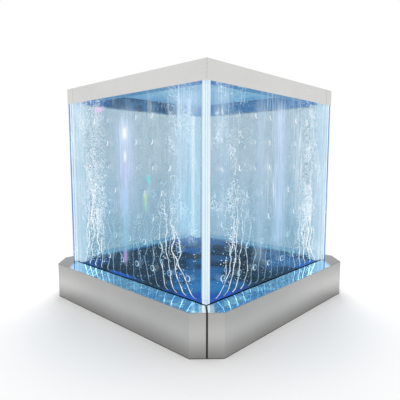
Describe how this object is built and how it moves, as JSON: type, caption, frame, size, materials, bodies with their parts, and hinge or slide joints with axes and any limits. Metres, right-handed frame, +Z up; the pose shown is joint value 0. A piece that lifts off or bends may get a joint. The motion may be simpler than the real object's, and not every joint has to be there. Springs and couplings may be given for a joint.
{
  "type": "bubble wall column",
  "caption": "Square water-feature column: clear bubble tanks with air jets and spacer posts, lit corners, lift-off steel cap, chamfered plinth with service door.",
  "frame": {"origin": "on the floor, under the middle of the square column", "axes": "+Z up; the front wall faces -Y, the right wall +X, the service door +Y"},
  "size_m": [1.066, 1.0707, 1],
  "materials": {
    "clear_sheet": "polished clear acrylic",
    "clear_bar": "polished clear acrylic, edge lit",
    "clear_post": "cut clear acrylic rod",
    "black_acrylic": "polished black acrylic",
    "jet_brass": "turned brass",
    "light_channel": "milky diffuser over LEDs",
    "brushed_stainless": "brushed stainless steel",
    "roof_blue": "satin dark blue paint",
    "seam_rubber": "extruded black rubber",
    "frame_paint": "black powder coat",
    "foot_rubber": "moulded rubber",
    "deck_blue": "polished dark blue acrylic",
    "tray_metal": "mill finish sheet",
    "hinge_steel": "brushed stainless steel",
    "lock_chrome": "plated",
    "inlet_plastic": "moulded black plastic",
    "pin_metal": "plated brass",
    "rocker_plastic": "moulded plastic",
    "driver_paint": "white powder coat",
    "pump_metal": "painted casting",
    "valve_brass": "machined brass",
    "lever_plastic": "moulded blue plastic",
    "drain_lever_plastic": "moulded red plastic",
    "hose_plastic": "soft clear hose",
    "pipe_plastic": "grey pipe"
  },
  "bodies": {
    "root": {"front_outer_sheet": "clear_sheet", "front_inner_sheet": "clear_sheet", "front_end_bars": "clear_bar", "front_air_bar": "black_acrylic", "front_air_jets": "jet_brass", "front_spacer_posts": "clear_post", "right_outer_sheet": "clear_sheet", "right_inner_sheet": "clear_sheet", "right_end_bars": "clear_bar", "right_air_bar": "black_acrylic", "right_air_jets": "jet_brass", "right_spacer_posts": "clear_post", "rear_outer_sheet": "clear_sheet", "rear_inner_sheet": "clear_sheet", "rear_end_bars": "clear_bar", "rear_air_bar": "black_acrylic", "rear_air_jets": "jet_brass", "rear_spacer_posts": "clear_post", "left_outer_sheet": "clear_sheet", "left_inner_sheet": "clear_sheet", "left_end_bars": "clear_bar", "left_air_bar": "black_acrylic", "left_air_jets": "jet_brass", "left_spacer_posts": "clear_post", "corner_lights": "light_channel", "plinth_skirt_left": "brushed_stainless", "plinth_skirt_right": "brushed_stainless", "seam_gasket_near": "seam_rubber", "seam_gasket_far": "seam_rubber", "base_rails": "frame_paint", "base_legs": "frame_paint", "levelling_feet": "foot_rubber", "deck_plate": "deck_blue", "equipment_tray": "tray_metal", "hinge_leaf_frame": "hinge_steel", "hinge_pin": "hinge_steel", "power_inlet": "inlet_plastic", "inlet_pins": "pin_metal", "light_driver": "driver_paint", "air_pump": "pump_metal", "pump_feet": "foot_rubber", "valve_block": "valve_brass", "air_hoses": "hose_plastic", "link_pipes": "pipe_plastic", "drain_cock": "valve_brass"},
    "cap": {"cap_front": "brushed_stainless", "cap_right": "brushed_stainless", "cap_rear": "brushed_stainless", "cap_left": "brushed_stainless", "roof_panel": "roof_blue"},
    "door": {"access_door": "brushed_stainless", "hinge_leaf_door": "hinge_steel", "lock_barrel": "lock_chrome"},
    "lock": {"lock_cam": "lock_chrome"},
    "rocker": {"switch_rocker": "rocker_plastic"},
    "drain_tap": {"drain_lever": "drain_lever_plastic"},
    "tap_front": {"valve_lever_front": "lever_plastic"},
    "tap_right": {"valve_lever_right": "lever_plastic"},
    "tap_rear": {"valve_lever_rear": "lever_plastic"},
    "tap_left": {"valve_lever_left": "lever_plastic"}
  },
  "joints": [
    {"name": "cap_lift", "type": "slide", "parent": "root", "child": "cap", "axis": [0, 0, 1], "range_m": [0, 0.12]},
    {"name": "door_swing", "type": "hinge", "parent": "root", "child": "door", "pos_m": [-0.1705, 0.529, 0.0835], "axis": [0, 0, 1], "range_deg": [0, 90]},
    {"name": "lock_turn", "type": "hinge", "parent": "door", "child": "lock", "pos_m": [0.1495, 0.5215, 0.0835], "axis": [0, -1, 0], "range_deg": [0, 90]},
    {"name": "rocker_tilt", "type": "hinge", "parent": "root", "child": "rocker", "pos_m": [-0.32, 0.53, 0.1], "axis": [-1, 0, 0], "range_deg": [0, 14]},
    {"name": "drain_turn", "type": "hinge", "parent": "root", "child": "drain_tap", "pos_m": [0.12, 0.49, 0.1265], "axis": [0, 1, 0], "range_deg": [0, 90]},
    {"name": "tap_turn_left", "type": "hinge", "parent": "root", "child": "tap_left", "pos_m": [-0.15, 0.4425, 0.063], "axis": [0, 1, 0], "range_deg": [0, 90]},
    {"name": "tap_turn_front", "type": "hinge", "parent": "root", "child": "tap_front", "pos_m": [-0.11, 0.4425, 0.063], "axis": [0, 1, 0], "range_deg": [0, 90]},
    {"name": "tap_turn_right", "type": "hinge", "parent": "root", "child": "tap_right", "pos_m": [-0.07, 0.4425, 0.063], "axis": [0, 1, 0], "range_deg": [0, 90]},
    {"name": "tap_turn_rear", "type": "hinge", "parent": "root", "child": "tap_rear", "pos_m": [-0.03, 0.4425, 0.063], "axis": [0, 1, 0], "range_deg": [0, 90]}
  ]
}
